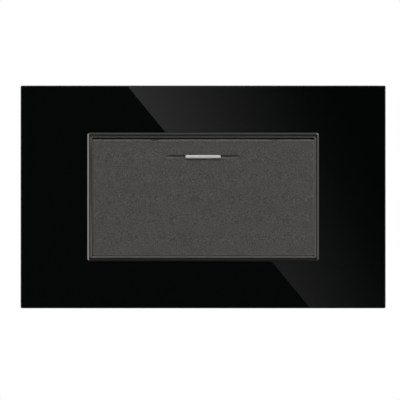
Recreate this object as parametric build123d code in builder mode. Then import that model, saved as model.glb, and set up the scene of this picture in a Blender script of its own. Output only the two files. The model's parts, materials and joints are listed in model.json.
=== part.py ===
from build123d import *
import os
from math import atan2, cos, degrees, radians, sin, sqrt

os.makedirs("parts", exist_ok=True)

# Two-way light switch of the 118 x 72 mm wall size: a black glass plate, a wide grey rocker key
# with an indicator light in it, and the snap-action mechanism that the key works in the wall box.
# All sizes are millimetres. X is to the right, Z is up and the wall is the plane Y = 0.
# A height is a distance from the wall towards the room, along -Y. What is sunk in the wall box
# has a negative height.

# Rocker key and its rocking motion
key_width = 71.5
key_height = 37.5
key_top_wall = 1.8
key_side_wall = 1.2
key_skirt_depth = 4.9
key_corner_radius = 0.5
key_edge_bevel = 0.35
key_draft = 0.7  # its sides lean inwards towards the back, in degrees
key_stand = 1.4  # level key's face above the glass
key_pivot_depth = 4.6  # face of the key to its rocking axis
key_tilt = 3.5  # each side of level, in degrees
key_side_gap = 0.12
key_end_gap = 0.35
key_rib_height = 1.2
key_rib_width = 1.0
key_rib_columns = (-26.0, -12.5, 12.5, 26.0)
nick_radius = 3.0
nick_depth = 0.45
nick_drop = 1.2
nick_places = (-15.7, 23.0)

# Indicator scoop in the key and its light guide
scoop_above_centre = 13.25
scoop_length = 25.2
scoop_height = 1.3
scoop_depth = 0.5
scoop_wheel_radius = 7.0  # of the cutter that runs out at its two ends
lens_length = 11.35
lens_height = 1.05
lens_corner_radius = 0.4
lens_stand = 0.45
lens_edge_bevel = 0.15
lens_flange_margin = 0.8
lens_flange_thickness = 0.8
lens_stem_length = 8.0
lens_stem_height = 2.0
lens_stem_depth = 0.9
lens_fit = 0.04

# Collar round the key, and the bezel ring that lines the window of the glass
collar_wall = 0.55
collar_stand = 0.2
collar_corner_radius = 0.65
collar_lip_depth = 0.3  # below its front lip the collar fills the gap to the bezel
collar_slope_width = 0.3  # its lip slopes down towards the key
collar_slope_rise = 0.16
collar_gap = 0.35
bezel_side_wall = 0.6
bezel_end_wall = 0.75  # along its long top and bottom sides
bezel_stand = 0.6
bezel_corner_radius = 0.85
bezel_inner_radius = 0.15
bezel_bevel_width = 0.55
bezel_bevel_rise = 0.3
bezel_flange_width = 1.4
bezel_flange_thickness = 1.0
bezel_fit = 0.1

# Glass plate, its tape and the moulded frame behind it
plate_width = 118.0
plate_height = 72.0
glass_thickness = 4.0
glass_corner_radius = 0.5
glass_arris = 0.35
tape_thickness = 0.25
tape_margin = 3.0
frame_inset = 1.2
frame_wall = 2.0
frame_web = 2.0
frame_corner_radius = 2.0
frame_rib_width = 3.0
frame_rib_gap = 0.3
frame_rib_foot = 0.8
pry_notch_width = 12.0
pry_notch_depth = 1.6
panel_gap = 0.55  # steel bracket to the frame's web
hook_width = 7.0
hook_thickness = 1.2
hook_barb = 0.5
hook_lead = 1.0
hook_fit = 0.1
hook_spacing = 34.0
hook_margin = 5.5

# Pressed steel bracket
bracket_margin = 1.3
bracket_depth = 3.2
bracket_thickness = 1.0
bracket_corner_cut = 4.0
bracket_bend_radius = 1.5
bracket_ledge = 1.0  # the bracket's window is that much smaller than the base all round
wall_screw_spacing = 83.5
wall_slot_width = 4.2
wall_slot_length = 8.4
wall_screw_head_radius = 4.0
slot_seat_spare = 0.5
slot_seat_drop = 1.7
screw_head_pocket_depth = 0.5
bead_width = 3.0
bead_length = 20.0
bead_height = 0.35
bead_margin = 5.0

# Cradle floor, bearings and bosses
floor_thickness = 1.5
floor_window_width = 24.0
floor_window_height = 15.0
ear_thickness = 2.2
ear_width = 8.0
ear_rise = 1.7  # above the rocking axis
ear_gap = 0.3
snap_slot_width = 2.5
snap_slot_mouth = 3.8
boss_radius = 2.8
boss_height = 2.0
stop_length = 7.0
stop_width = 1.6
stop_clearance = 0.1
stop_spacing = 44.0

# Rocking actuator, its plunger and spring
trunnion_radius = 1.5
trunnion_length = 3.0
running_clearance = 0.05
actuator_width = 31.0
actuator_height = 10.0
actuator_back = 1.4  # below the rocking axis
actuator_edge_radius = 0.5
barrel_radius = 3.0
barrel_length = 9.0  # below the rocking axis
plunger_radius = 1.65
plunger_tip_radius = 0.8
plunger_shoulder = 6.0  # below the rocking axis
plunger_pin_radius = 0.75
plunger_pin_length = 1.6
plunger_clearance = 0.06
spring_seat = 0.6  # above the rocking axis
spring_radius = 1.25
spring_wire = 0.32
spring_wire_sides = 5  # flats on the wire, which keep it light
spring_turns = 5
leg_spacing = 16.0
leg_width = 5.0
leg_thickness = 1.1
leg_barb = 0.4
leg_barb_height = 0.8
leg_lead = 0.3
post_spacing = 22.0
post_size = 3.0
post_height = 0.9
socket_wall = 1.0
seat_fit = 0.05

# Contact blade, fulcrum and contact buttons
blade_drop = 8.8  # bracket's rear face to the blade's rocking axis
blade_ratio = 3.0  # blade angle for each degree of the key
blade_width = 7.0
blade_length = 18.0
blade_thickness = 0.8
blade_corner_radius = 1.2
blade_seat_depth = 0.2  # rear face of the blade to the fulcrum's axis
fulcrum_radius = 0.5
fulcrum_width = 5.0
fulcrum_ear_width = 0.9
fulcrum_ear_rise = 2.2
blade_notch_height = 2.2
blade_side_gap = 0.1
contact_above_axis = 7.0
contact_radius = 1.5
contact_rim = 0.35
contact_crown = 0.2
contact_gap = 0.08
fixed_contact_thickness = 0.6

# Terminals, wire clamps and their screws
strap_thickness = 0.8
strap_width = 5.0
clamp_across = 18.5  # each side of the middle
clamp_up = 10.2  # above or below the middle
clamp_width = 7.0
clamp_length = 8.0
clamp_depth = 8.0
clamp_edge = 0.4
wire_bore_radius = 2.1
wire_bore_setback = 3.3  # clamp's front face to the bore's axis
wire_mouth_radius = 2.5
wire_mouth_flare = 3.4
clamp_thread_radius = 1.45
clamp_screw_radius = 1.4
clamp_screw_head_radius = 2.7
clamp_screw_head = 1.9
clamp_screw_lift = 0.4
clamp_screw_retreat = 0.2
screw_slot_width = 0.8
screw_slot_depth = 0.9
clamp_fit = 0.25

# Rear base moulding
base_width = 52.0
base_height = 33.0
base_depth = 23.2
base_corner_radius = 2.0
base_rear_chamfer = 0.8
base_flange_width = 68.0
base_flange_height = 35.0
base_flange_thickness = 2.4
base_recess_width = 20.0
base_recess_height = 20.0
base_recess_depth = 1.2
chamber_width = 11.0
chamber_height = 22.0
screw_well_radius = 3.1
base_screw_across = 61.0
base_screw_radius = 1.3
base_screw_hole_radius = 1.6
base_screw_head_radius = 2.6
base_screw_head = 1.7
base_screw_tip_gap = 0.3

# Indicator light board
board_width = 34.0
board_height = 8.0
board_thickness = 1.0
board_above_window = 0.7
led_width = 3.2
led_height = 1.6
led_thickness = 0.8
led_spacing = 6.0
resistor_width = 3.0
resistor_height = 1.5
resistor_thickness = 0.6
resistor_offset = 9.0
led_pin_width = 0.7
led_pin_rise = 0.6
led_pin_across = 14.0
led_pin_up = 9.4
led_pin_hole_width = 1.0
led_tab_width = 4.0

# Heights of the stack, from the wall outwards
bracket_rear = bracket_depth - bracket_thickness
floor_front = bracket_depth + floor_thickness
web_rear = bracket_depth + panel_gap
web_front = web_rear + frame_web
glass_rear = web_front + tape_thickness
glass_front = glass_rear + glass_thickness
collar_front = glass_front + collar_stand
pivot_height = glass_front + key_stand - key_pivot_depth

# Windows, nested from the key outwards
collar_inner = (key_width + 2 * key_side_gap, key_height + 2 * key_end_gap)
collar_outer = tuple(size + 2 * collar_wall for size in collar_inner)
bezel_inner = tuple(size + 2 * collar_gap for size in collar_outer)
bezel_outer = (bezel_inner[0] + 2 * bezel_side_wall, bezel_inner[1] + 2 * bezel_end_wall)
collar_root = tuple(size - 2 * bezel_fit for size in bezel_inner)
bezel_flange = tuple(size + 2 * bezel_flange_width for size in bezel_outer)
frame_size = (plate_width - 2 * frame_inset, plate_height - 2 * frame_inset)
frame_cavity = tuple(size - 2 * frame_wall for size in frame_size)
bracket_size = tuple(size - 2 * bracket_margin for size in frame_cavity)
hook_up = bracket_size[1] / 2 - hook_margin

# Depths of the mechanism, in the wall box
blade_axis_height = bracket_rear - blade_drop
blade_tilt = key_tilt * blade_ratio
button_thickness = contact_rim + contact_crown
button_dome_radius = (contact_radius**2 + contact_crown**2) / (2 * contact_crown)
button_reach = blade_seat_depth - button_thickness + button_dome_radius
fixed_contact_front = (
    blade_axis_height
    - contact_above_axis * sin(radians(blade_tilt))
    + button_reach * cos(radians(blade_tilt))
    - button_dome_radius
    - contact_gap
)
strap_front = fixed_contact_front - fixed_contact_thickness
strap_rear = strap_front - strap_thickness
clamp_rear = strap_rear - clamp_depth
wire_bore_height = strap_rear - wire_bore_setback
base_rear = bracket_rear - base_depth
clamp_places = {
    "common": (-clamp_across, -clamp_up),
    "lower": (clamp_across, -clamp_up),
    "upper": (clamp_across, clamp_up),
}


def at_height(height):
    """Sketch plane parallel to the wall: x to the right, y up, normal towards the room."""
    return Plane.XZ.offset(height)


def from_side(x):
    """Sketch plane seen from the left end: x is the height, y is up, normal to the left."""
    return Plane(origin=(x, 0, 0), x_dir=(0, -1, 0), z_dir=(-1, 0, 0))


def tilted_plane(height, degrees):
    """Frame of a rocking piece whose top leans towards the room by an angle."""
    angle = radians(degrees)
    return Plane(origin=(0, -height, 0), x_dir=(1, 0, 0), z_dir=(0, -cos(angle), -sin(angle)))


def seen_along_axis(frame, x):
    """Plane across a rocking axis, at x along it: x is the piece's height, y its upward direction."""
    return Plane(origin=frame.origin + frame.x_dir * x, x_dir=frame.z_dir, z_dir=-frame.x_dir)


rocker = tilted_plane(pivot_height, key_tilt)
blade = tilted_plane(blade_axis_height, -blade_tilt)
rocker_outward = Axis(rocker.origin, rocker.z_dir)
face_above_pivot = key_pivot_depth
skirt_below_pivot = key_skirt_depth - key_pivot_depth
plate_under_pivot = key_pivot_depth - key_top_wall  # underside of the key's face, above the axis
actuator_front = plate_under_pivot - key_rib_height
slot_seat_length = wall_slot_length - wall_slot_width + 2 * (wall_screw_head_radius + slot_seat_spare)
slot_seat_width = 2 * (wall_screw_head_radius + slot_seat_spare)


def save(piece, name):
    piece.part.label = name
    export_step(piece.part, f"parts/{name}.step")


# Black toughened glass with its window and polished arrises
with BuildPart() as glass_panel:
    with BuildSketch(at_height(glass_rear)):
        RectangleRounded(plate_width, plate_height, glass_corner_radius)
        RectangleRounded(
            bezel_outer[0] + 2 * bezel_fit,
            bezel_outer[1] + 2 * bezel_fit,
            bezel_corner_radius + bezel_fit,
            mode=Mode.SUBTRACT,
        )
    extrude(amount=glass_thickness)
    flat_edges = glass_panel.edges().group_by(Axis.Y)
    chamfer(flat_edges[0] + flat_edges[-1], glass_arris)
save(glass_panel, "glass_panel")

# Bezel ring: a thin wall bevelled outwards above the glass, on a flange let into the frame
with BuildPart() as bezel:
    with BuildSketch(at_height(web_front - bezel_flange_thickness)):
        RectangleRounded(*bezel_flange, bezel_corner_radius + bezel_flange_width)
    extrude(amount=bezel_flange_thickness)
    with BuildSketch(at_height(web_front)):
        RectangleRounded(*bezel_outer, bezel_corner_radius)
    extrude(amount=glass_front + bezel_stand - bezel_bevel_rise - web_front)
    with BuildSketch(at_height(glass_front + bezel_stand - bezel_bevel_rise)):
        RectangleRounded(*bezel_outer, bezel_corner_radius)
    extrude(amount=bezel_bevel_rise, taper=degrees(atan2(bezel_bevel_width, bezel_bevel_rise)))
    with BuildSketch(at_height(web_front - bezel_flange_thickness)):
        RectangleRounded(*bezel_inner, bezel_inner_radius)
    extrude(amount=glass_front + bezel_stand, mode=Mode.SUBTRACT)
save(bezel, "bezel")

# Double-sided tape between the glass and the frame
with BuildPart() as glass_tape:
    with BuildSketch(at_height(web_front)):
        Rectangle(plate_width - 2 * tape_margin, plate_height - 2 * tape_margin)
        Rectangle(
            bezel_flange[0] + 2 * bezel_flange_width,
            bezel_flange[1] + 2 * bezel_flange_width,
            mode=Mode.SUBTRACT,
        )
    extrude(amount=tape_thickness)
save(glass_tape, "glass_tape")

# Moulded frame: a rim that meets the wall, a web under the glass and snap hooks for the bracket
hook_tip = bracket_rear - hook_fit - hook_lead
with BuildPart() as panel_frame:
    with BuildSketch(at_height(0)):
        RectangleRounded(*frame_size, frame_corner_radius)
    extrude(amount=web_front)
    with BuildSketch(at_height(0)):
        RectangleRounded(*frame_cavity, frame_corner_radius / 2)
    extrude(amount=web_rear, mode=Mode.SUBTRACT)
    with BuildSketch(at_height(web_rear)):
        RectangleRounded(*bezel_inner, bezel_inner_radius)
    extrude(amount=frame_web, mode=Mode.SUBTRACT)
    with BuildSketch(at_height(web_front - bezel_flange_thickness)):
        RectangleRounded(
            bezel_flange[0] + 2 * bezel_fit,
            bezel_flange[1] + 2 * bezel_fit,
            bezel_corner_radius + bezel_flange_width,
        )
    extrude(amount=bezel_flange_thickness, mode=Mode.SUBTRACT)
    rib_depth = bracket_margin - frame_rib_gap
    with BuildSketch(at_height(frame_rib_foot)):
        with GridLocations(frame_cavity[0] - rib_depth, frame_cavity[1] / 2, 2, 2):
            Rectangle(rib_depth, frame_rib_width)
        with GridLocations(frame_cavity[0] * 0.7, frame_cavity[1] - rib_depth, 2, 2):
            Rectangle(frame_rib_width, rib_depth)
    extrude(amount=web_rear - frame_rib_foot)
    for column in (-hook_spacing, 0, hook_spacing):
        with BuildSketch(from_side(column)):
            with BuildLine():
                Polyline(
                    (web_rear, hook_up),
                    (web_rear, hook_up + hook_thickness),
                    (bracket_rear - hook_fit, hook_up + hook_thickness),
                    (bracket_rear - hook_fit, hook_up + hook_thickness + hook_barb),
                    (hook_tip, hook_up + hook_thickness - hook_barb / 2),
                    (hook_tip, hook_up),
                    close=True,
                )
            make_face()
            mirror(about=Plane.XZ)
        extrude(amount=hook_width / 2, both=True)
    with BuildSketch(at_height(0)):
        with Locations((0, -frame_size[1] / 2 + frame_wall / 2)):
            Rectangle(pry_notch_width, frame_wall)
    extrude(amount=pry_notch_depth, mode=Mode.SUBTRACT)
    with BuildSketch(at_height(web_rear)):
        with GridLocations(wall_screw_spacing, 0, 2, 1):
            SlotOverall(slot_seat_length, slot_seat_width)
    extrude(amount=screw_head_pocket_depth, mode=Mode.SUBTRACT)
save(panel_frame, "panel_frame")

# Pressed steel bracket: turned-back edges with open corners, beads, wall slots and hook windows
with BuildPart() as bracket:
    for across, along, x_dir, z_dir in (
        (bracket_size[0], bracket_size[1], (1, 0, 0), (0, 0, -1)),
        (bracket_size[1], bracket_size[0], (0, 0, 1), (1, 0, 0)),
    ):
        with BuildSketch(Plane((0, 0, 0), x_dir=x_dir, z_dir=z_dir)):
            RectangleRounded(across, 2 * bracket_depth, bracket_bend_radius)
            RectangleRounded(
                across - 2 * bracket_thickness,
                2 * bracket_rear,
                bracket_bend_radius - bracket_thickness,
                mode=Mode.SUBTRACT,
            )
            with Locations((0, -bracket_depth / 2)):
                Rectangle(across, bracket_depth, mode=Mode.SUBTRACT)
        extrude(amount=along / 2 - bracket_corner_cut, both=True)
    with BuildSketch(at_height(bracket_depth)):
        with GridLocations(hook_spacing, bracket_size[1] - 2 * bead_margin, 2, 2):
            Rectangle(bead_length, bead_width)
    extrude(amount=bead_height)
    with BuildSketch(at_height(bracket_rear)):
        with GridLocations(hook_spacing, bracket_size[1] - 2 * bead_margin, 2, 2):
            Rectangle(bead_length - 2 * bead_height, bead_width - 2 * bead_height)
    extrude(amount=bead_height, mode=Mode.SUBTRACT)
    with BuildSketch(at_height(bracket_rear - slot_seat_drop)):
        with GridLocations(wall_screw_spacing, 0, 2, 1):
            SlotOverall(
                slot_seat_length + 2 * bracket_thickness, slot_seat_width + 2 * bracket_thickness
            )
    extrude(amount=slot_seat_drop)
    with BuildSketch(at_height(bracket_depth - slot_seat_drop)):
        with GridLocations(wall_screw_spacing, 0, 2, 1):
            SlotOverall(slot_seat_length, slot_seat_width)
    extrude(amount=slot_seat_drop, mode=Mode.SUBTRACT)
    with BuildSketch(at_height(bracket_rear - slot_seat_drop)):
        with GridLocations(wall_screw_spacing, 0, 2, 1):
            SlotOverall(wall_slot_length, wall_slot_width)
    extrude(amount=bracket_thickness, mode=Mode.SUBTRACT)
    with BuildSketch(at_height(bracket_rear)):
        RectangleRounded(
            base_width - 2 * bracket_ledge, base_height - 2 * bracket_ledge, base_corner_radius
        )
        with GridLocations(base_screw_across, 0, 2, 1):
            Circle(base_screw_hole_radius)
        hook_window = hook_thickness + hook_barb + 2 * hook_fit
        window_up = hook_up + hook_thickness + hook_fit - hook_window / 2
        with GridLocations(hook_spacing, 2 * window_up, 3, 2):
            Rectangle(hook_width + 4 * hook_fit, hook_window)
    extrude(amount=bracket_thickness + bead_height, mode=Mode.SUBTRACT)
save(bracket, "bracket")

# Cradle: the collar round the key, its floor on the bracket, bearings, screw bosses and stops
skirt_foot = pivot_height - skirt_below_pivot - key_height / 2 * sin(radians(key_tilt))
boss_top = floor_front + boss_height
ear_top = pivot_height + ear_rise
ear_middle = actuator_width / 2 + ear_gap + ear_thickness / 2
board_middle = floor_window_height / 2 + board_above_window + board_height / 2
with BuildPart() as cradle:
    with BuildSketch(at_height(bracket_depth)):
        RectangleRounded(*collar_root, collar_corner_radius)
    extrude(amount=collar_front - collar_lip_depth - bracket_depth)
    with BuildSketch(at_height(bracket_depth)):
        RectangleRounded(*collar_outer, collar_corner_radius)
    extrude(amount=collar_front - bracket_depth)
    with BuildSketch(at_height(floor_front)):
        RectangleRounded(*collar_inner, collar_corner_radius - collar_wall)
    extrude(amount=collar_front, mode=Mode.SUBTRACT)
    with BuildSketch(at_height(collar_front - collar_slope_rise)):
        RectangleRounded(*collar_inner, collar_corner_radius - collar_wall)
    slope = degrees(atan2(collar_slope_width, collar_slope_rise))
    extrude(amount=collar_slope_rise, taper=-slope, mode=Mode.SUBTRACT)
    for side in (-1, 1):
        with BuildSketch(from_side(side * ear_middle)):
            with BuildLine():
                Polyline(
                    (pivot_height, -ear_width / 2),
                    (floor_front, -ear_width / 2),
                    (floor_front, ear_width / 2),
                    (pivot_height, ear_width / 2),
                )
                ThreePointArc((pivot_height, ear_width / 2), (ear_top, 0), (pivot_height, -ear_width / 2))
            make_face()
            with Locations((pivot_height, 0)):
                Circle(trunnion_radius + running_clearance, mode=Mode.SUBTRACT)
            with BuildLine():
                Polyline(
                    (pivot_height, -snap_slot_width / 2),
                    (pivot_height + trunnion_radius, -snap_slot_width / 2),
                    (ear_top, -snap_slot_mouth / 2),
                    (ear_top, snap_slot_mouth / 2),
                    (pivot_height + trunnion_radius, snap_slot_width / 2),
                    (pivot_height, snap_slot_width / 2),
                    close=True,
                )
            make_face(mode=Mode.SUBTRACT)
        extrude(amount=ear_thickness / 2, both=True)
    with BuildSketch(at_height(floor_front)):
        with GridLocations(base_screw_across, 0, 2, 1):
            Circle(boss_radius)
    extrude(amount=boss_height)
    with BuildSketch(at_height(floor_front)):
        with GridLocations(stop_spacing, key_height - key_side_wall, 2, 2):
            Rectangle(stop_length, stop_width)
    extrude(amount=skirt_foot - stop_clearance - floor_front)
    with BuildSketch(at_height(bracket_depth)):
        with GridLocations(base_screw_across, 0, 2, 1):
            Circle(base_screw_radius + seat_fit)
    extrude(amount=boss_top, mode=Mode.SUBTRACT)
    with BuildSketch(at_height(bracket_depth)):
        Rectangle(floor_window_width, floor_window_height)
        with Locations((0, led_pin_up)):
            with GridLocations(2 * led_pin_across, 0, 2, 1):
                Rectangle(led_pin_hole_width, led_pin_hole_width)
    extrude(amount=floor_thickness, mode=Mode.SUBTRACT)
save(cradle, "cradle")

# Rocker key: a shallow cap with ribs and snap legs inside and a pointed scoop for the light
scoop_run_out = sqrt(scoop_wheel_radius**2 - (scoop_wheel_radius - scoop_depth) ** 2)
scoop_run = scoop_length - 2 * scoop_run_out
leg_foot = actuator_back + seat_fit + leg_barb_height
with BuildPart() as key:
    with BuildSketch(rocker.offset(face_above_pivot)):
        RectangleRounded(key_width, key_height, key_corner_radius)
    extrude(amount=-key_skirt_depth, taper=key_draft)
    chamfer(key.faces().sort_by(rocker_outward)[-1].edges(), key_edge_bevel)
    with BuildSketch(rocker.offset(-skirt_below_pivot)):
        Rectangle(key_width - 2 * key_side_wall, key_height - 2 * key_side_wall)
    extrude(amount=key_skirt_depth - key_top_wall, mode=Mode.SUBTRACT)
    with BuildSketch(rocker.offset(plate_under_pivot - key_rib_height)):
        for column in key_rib_columns:
            with Locations((column, 0)):
                Rectangle(key_rib_width, key_height - 2 * key_side_wall)
        with GridLocations(post_spacing, 0, 2, 1):
            Rectangle(post_size + 2 * socket_wall, post_size + 2 * socket_wall)
    extrude(amount=key_rib_height)
    with BuildSketch(rocker.offset(plate_under_pivot - key_rib_height)):
        with GridLocations(post_spacing, 0, 2, 1):
            Rectangle(post_size + 2 * seat_fit, post_size + 2 * seat_fit)
    extrude(amount=key_rib_height, mode=Mode.SUBTRACT)
    for column in (-leg_spacing / 2, leg_spacing / 2):
        with BuildSketch(seen_along_axis(rocker, column)):
            leg_inner = actuator_height / 2 + seat_fit
            with BuildLine():
                Polyline(
                    (plate_under_pivot, leg_inner),
                    (plate_under_pivot, leg_inner + leg_thickness),
                    (-leg_foot, leg_inner + leg_thickness),
                    (-leg_foot, leg_inner + leg_lead),
                    (-actuator_back - seat_fit, leg_inner - leg_barb),
                    (-actuator_back - seat_fit, leg_inner),
                    close=True,
                )
            make_face()
            mirror(about=Plane.XZ)
        extrude(amount=leg_width / 2, both=True)
    for end in (-scoop_run / 2, scoop_run / 2):
        with BuildSketch(seen_along_axis(rocker, end)) as scoop_section:
            with BuildLine():
                Polyline(
                    (face_above_pivot - scoop_depth, scoop_above_centre),
                    (face_above_pivot + scoop_depth, scoop_above_centre + scoop_height),
                    (face_above_pivot + scoop_depth, scoop_above_centre - scoop_height),
                    close=True,
                )
            make_face()
        wheel_height = face_above_pivot - scoop_depth + scoop_wheel_radius
        wheel_middle = rocker.from_local_coords((end, scoop_above_centre, wheel_height))
        revolve(axis=Axis(wheel_middle, rocker.y_dir), revolution_arc=360, mode=Mode.SUBTRACT)
    extrude(scoop_section.sketch, amount=scoop_run, mode=Mode.SUBTRACT)
    with BuildSketch(rocker.offset(plate_under_pivot)):
        with Locations((0, scoop_above_centre)):
            RectangleRounded(
                lens_length + 2 * lens_fit, lens_height + 2 * lens_fit, lens_corner_radius + lens_fit
            )
    extrude(amount=key_top_wall, mode=Mode.SUBTRACT)
    with BuildSketch(rocker.offset(face_above_pivot - nick_drop)):
        for place in nick_places:
            with Locations((place, key_height / 2 + nick_radius - nick_depth)):
                Circle(nick_radius)
    extrude(amount=nick_drop, mode=Mode.SUBTRACT)
save(key, "key")

# Light guide: a bar through the key, a flange behind its face and a stem towards the lights
with BuildPart() as lens:
    with BuildSketch(rocker.offset(plate_under_pivot)):
        with Locations((0, scoop_above_centre)):
            RectangleRounded(lens_length, lens_height, lens_corner_radius)
    extrude(amount=key_top_wall + lens_stand)
    chamfer(lens.faces().sort_by(rocker_outward)[-1].edges(), lens_edge_bevel)
    with BuildSketch(rocker.offset(plate_under_pivot)):
        with Locations((0, scoop_above_centre)):
            Rectangle(lens_length + 2 * lens_flange_margin, lens_height + 2 * lens_flange_margin)
    extrude(amount=-lens_flange_thickness)
    with BuildSketch(rocker.offset(plate_under_pivot - lens_flange_thickness)):
        with Locations((0, scoop_above_centre)):
            Rectangle(lens_stem_length, lens_stem_height)
    extrude(amount=-lens_stem_depth, taper=8)
save(lens, "lens")

# Actuator: the rocking carrier with trunnions, locating posts and the plunger's barrel
with BuildPart() as actuator:
    with BuildSketch(rocker.offset(-actuator_back)):
        Rectangle(actuator_width, actuator_height)
    extrude(amount=actuator_back + actuator_front)
    fillet(actuator.edges().filter_by(Axis(rocker.origin, rocker.z_dir)), actuator_edge_radius)
    with BuildSketch(rocker.offset(actuator_front)):
        with GridLocations(post_spacing, 0, 2, 1):
            Rectangle(post_size, post_size)
    extrude(amount=post_height)
    with BuildSketch(seen_along_axis(rocker, 0)):
        Circle(trunnion_radius)
    extrude(amount=actuator_width / 2 + trunnion_length, both=True)
    with BuildSketch(rocker.offset(-barrel_length)):
        Circle(barrel_radius)
    extrude(amount=barrel_length)
    with BuildSketch(rocker.offset(-barrel_length)):
        Circle(plunger_radius + running_clearance * 2)
    extrude(amount=barrel_length + spring_seat, mode=Mode.SUBTRACT)
save(actuator, "actuator")

# Plunger: a pin in the barrel whose ball-ended cone rides on the contact blade
plunger_tip = pivot_height - blade_axis_height - blade_seat_depth - blade_thickness - plunger_clearance
tip_side = plunger_tip_radius * sin(radians(45))
tip_end = plunger_tip_radius - tip_side - plunger_tip
with BuildPart() as plunger:
    with BuildSketch(seen_along_axis(rocker, 0)):
        with BuildLine():
            Polyline(
                (-plunger_tip, 0),
                (-plunger_shoulder + plunger_pin_length, 0),
                (-plunger_shoulder + plunger_pin_length, plunger_pin_radius),
                (-plunger_shoulder, plunger_pin_radius),
                (-plunger_shoulder, plunger_radius),
                (tip_end + plunger_radius - tip_side, plunger_radius),
                (tip_end, tip_side),
            )
            RadiusArc((tip_end, tip_side), (-plunger_tip, 0), -plunger_tip_radius)
        make_face()
    revolve(axis=rocker_outward, revolution_arc=360)
save(plunger, "plunger")

# Compression spring between the barrel's closed end and the plunger's shoulder
spring_length = plunger_shoulder + spring_seat - spring_wire
spring_start = rocker.offset(-plunger_shoulder + spring_wire / 2)
with BuildPart() as plunger_spring:
    with BuildLine() as coil:
        Helix(
            pitch=spring_length / spring_turns,
            height=spring_length,
            radius=spring_radius,
            center=spring_start.origin,
            direction=rocker.z_dir,
        )
    with BuildSketch(Plane(coil.line @ 0, z_dir=coil.line % 0)):
        RegularPolygon(spring_wire / 2, spring_wire_sides)
    sweep(is_frenet=True)
save(plunger_spring, "plunger_spring")

# Contact blade: a springy strip notched between the ears of its fulcrum
blade_rear = blade_seat_depth  # above the blade's rocking axis
with BuildPart() as contact_blade:
    with BuildSketch(blade.offset(blade_rear)):
        RectangleRounded(blade_width, blade_length, blade_corner_radius)
        with GridLocations(fulcrum_width - 2 * blade_side_gap + blade_width, 0, 2, 1):
            Rectangle(blade_width, blade_notch_height, mode=Mode.SUBTRACT)
    extrude(amount=blade_thickness)
    with BuildSketch(seen_along_axis(blade, 0)):
        Circle(fulcrum_radius + running_clearance)
    extrude(amount=blade_width, both=True, mode=Mode.SUBTRACT)
save(contact_blade, "contact_blade")

# Domed silver buttons on the blade's two ends
with BuildPart() as blade_buttons:
    for end in (-contact_above_axis, contact_above_axis):
        button_base = Plane(
            origin=blade.from_local_coords((0, end, blade_rear)), x_dir=blade.x_dir, z_dir=-blade.z_dir
        )
        with BuildSketch(Plane(button_base.origin, x_dir=blade.x_dir, z_dir=blade.y_dir)):
            with BuildLine():
                Polyline((0, button_thickness), (0, 0), (contact_radius, 0), (contact_radius, contact_rim))
                RadiusArc((contact_radius, contact_rim), (0, button_thickness), -button_dome_radius)
            make_face()
        revolve(axis=Axis(button_base.origin, button_base.z_dir), revolution_arc=360)
save(blade_buttons, "blade_buttons")


def common_outline(spare):
    """Strap of the common terminal, from the fulcrum to its clamp, with a tab for the light."""
    reach = clamp_across + clamp_width / 2 + spare
    right = fulcrum_width / 2 + fulcrum_ear_width + spare
    with Locations(((right - reach) / 2, 0)):
        Rectangle(reach + right, strap_width + 2 * spare)
    foot = clamp_up + clamp_length / 2 + spare
    with Locations((-clamp_across, -foot / 2)):
        Rectangle(clamp_width + 2 * spare, foot)
    tab = led_pin_up + led_tab_width / 2 + spare
    with Locations((-led_pin_across, tab / 2)):
        Rectangle(led_tab_width + 2 * spare, tab)


def throw_outline(side, spare):
    """Strap of one of the two switched terminals, above (1) or below (-1) the middle."""
    left = strap_width / 2 + spare
    reach = clamp_across + clamp_width / 2 + spare
    with Locations(((reach - left) / 2, side * contact_above_axis)):
        Rectangle(reach + left, strap_width + 2 * spare)
    far = clamp_up + clamp_length / 2 + spare
    near = contact_above_axis - strap_width / 2 - spare
    with Locations((clamp_across, side * (far + near) / 2)):
        Rectangle(clamp_width + 2 * spare, far - near)


def light_outline(spare):
    """Tab on the upper strap under the light board's pin."""
    far = led_pin_up + led_tab_width / 2 + spare
    with Locations((led_pin_across, (far + contact_above_axis) / 2)):
        Rectangle(led_tab_width + 2 * spare, far - contact_above_axis)


# Common terminal: brass strap with the fulcrum tab standing up under the blade
with BuildPart() as terminal_common:
    with BuildSketch(at_height(strap_rear)):
        common_outline(0)
    extrude(amount=strap_thickness)
    with BuildSketch(at_height(strap_rear)):
        Rectangle(fulcrum_width, 2 * fulcrum_radius)
    extrude(amount=blade_axis_height - strap_rear)
    with BuildSketch(from_side(0)):
        with Locations((blade_axis_height, 0)):
            Circle(fulcrum_radius)
    extrude(amount=fulcrum_width / 2, both=True)
    with BuildSketch(at_height(strap_rear)):
        with GridLocations(fulcrum_width + fulcrum_ear_width, 0, 2, 1):
            Rectangle(fulcrum_ear_width, 2 * fulcrum_radius)
    extrude(amount=blade_axis_height + fulcrum_ear_rise - strap_rear)
save(terminal_common, "terminal_common")

# Switched terminals: brass straps from each fixed contact to its clamp
for name, side in (("terminal_upper", 1), ("terminal_lower", -1)):
    with BuildPart() as throw_terminal:
        with BuildSketch(at_height(strap_rear)):
            throw_outline(side, 0)
            if side > 0:
                light_outline(0)
        extrude(amount=strap_thickness)
    save(throw_terminal, name)

# Flat silver contacts riveted to the switched straps
for name, side in (("contact_upper", 1), ("contact_lower", -1)):
    with BuildPart() as fixed_contact:
        with BuildSketch(at_height(strap_front)):
            with Locations((0, side * contact_above_axis)):
                Circle(contact_radius + fulcrum_radius / 5)
        extrude(amount=fixed_contact_thickness)
    save(fixed_contact, name)

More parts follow.
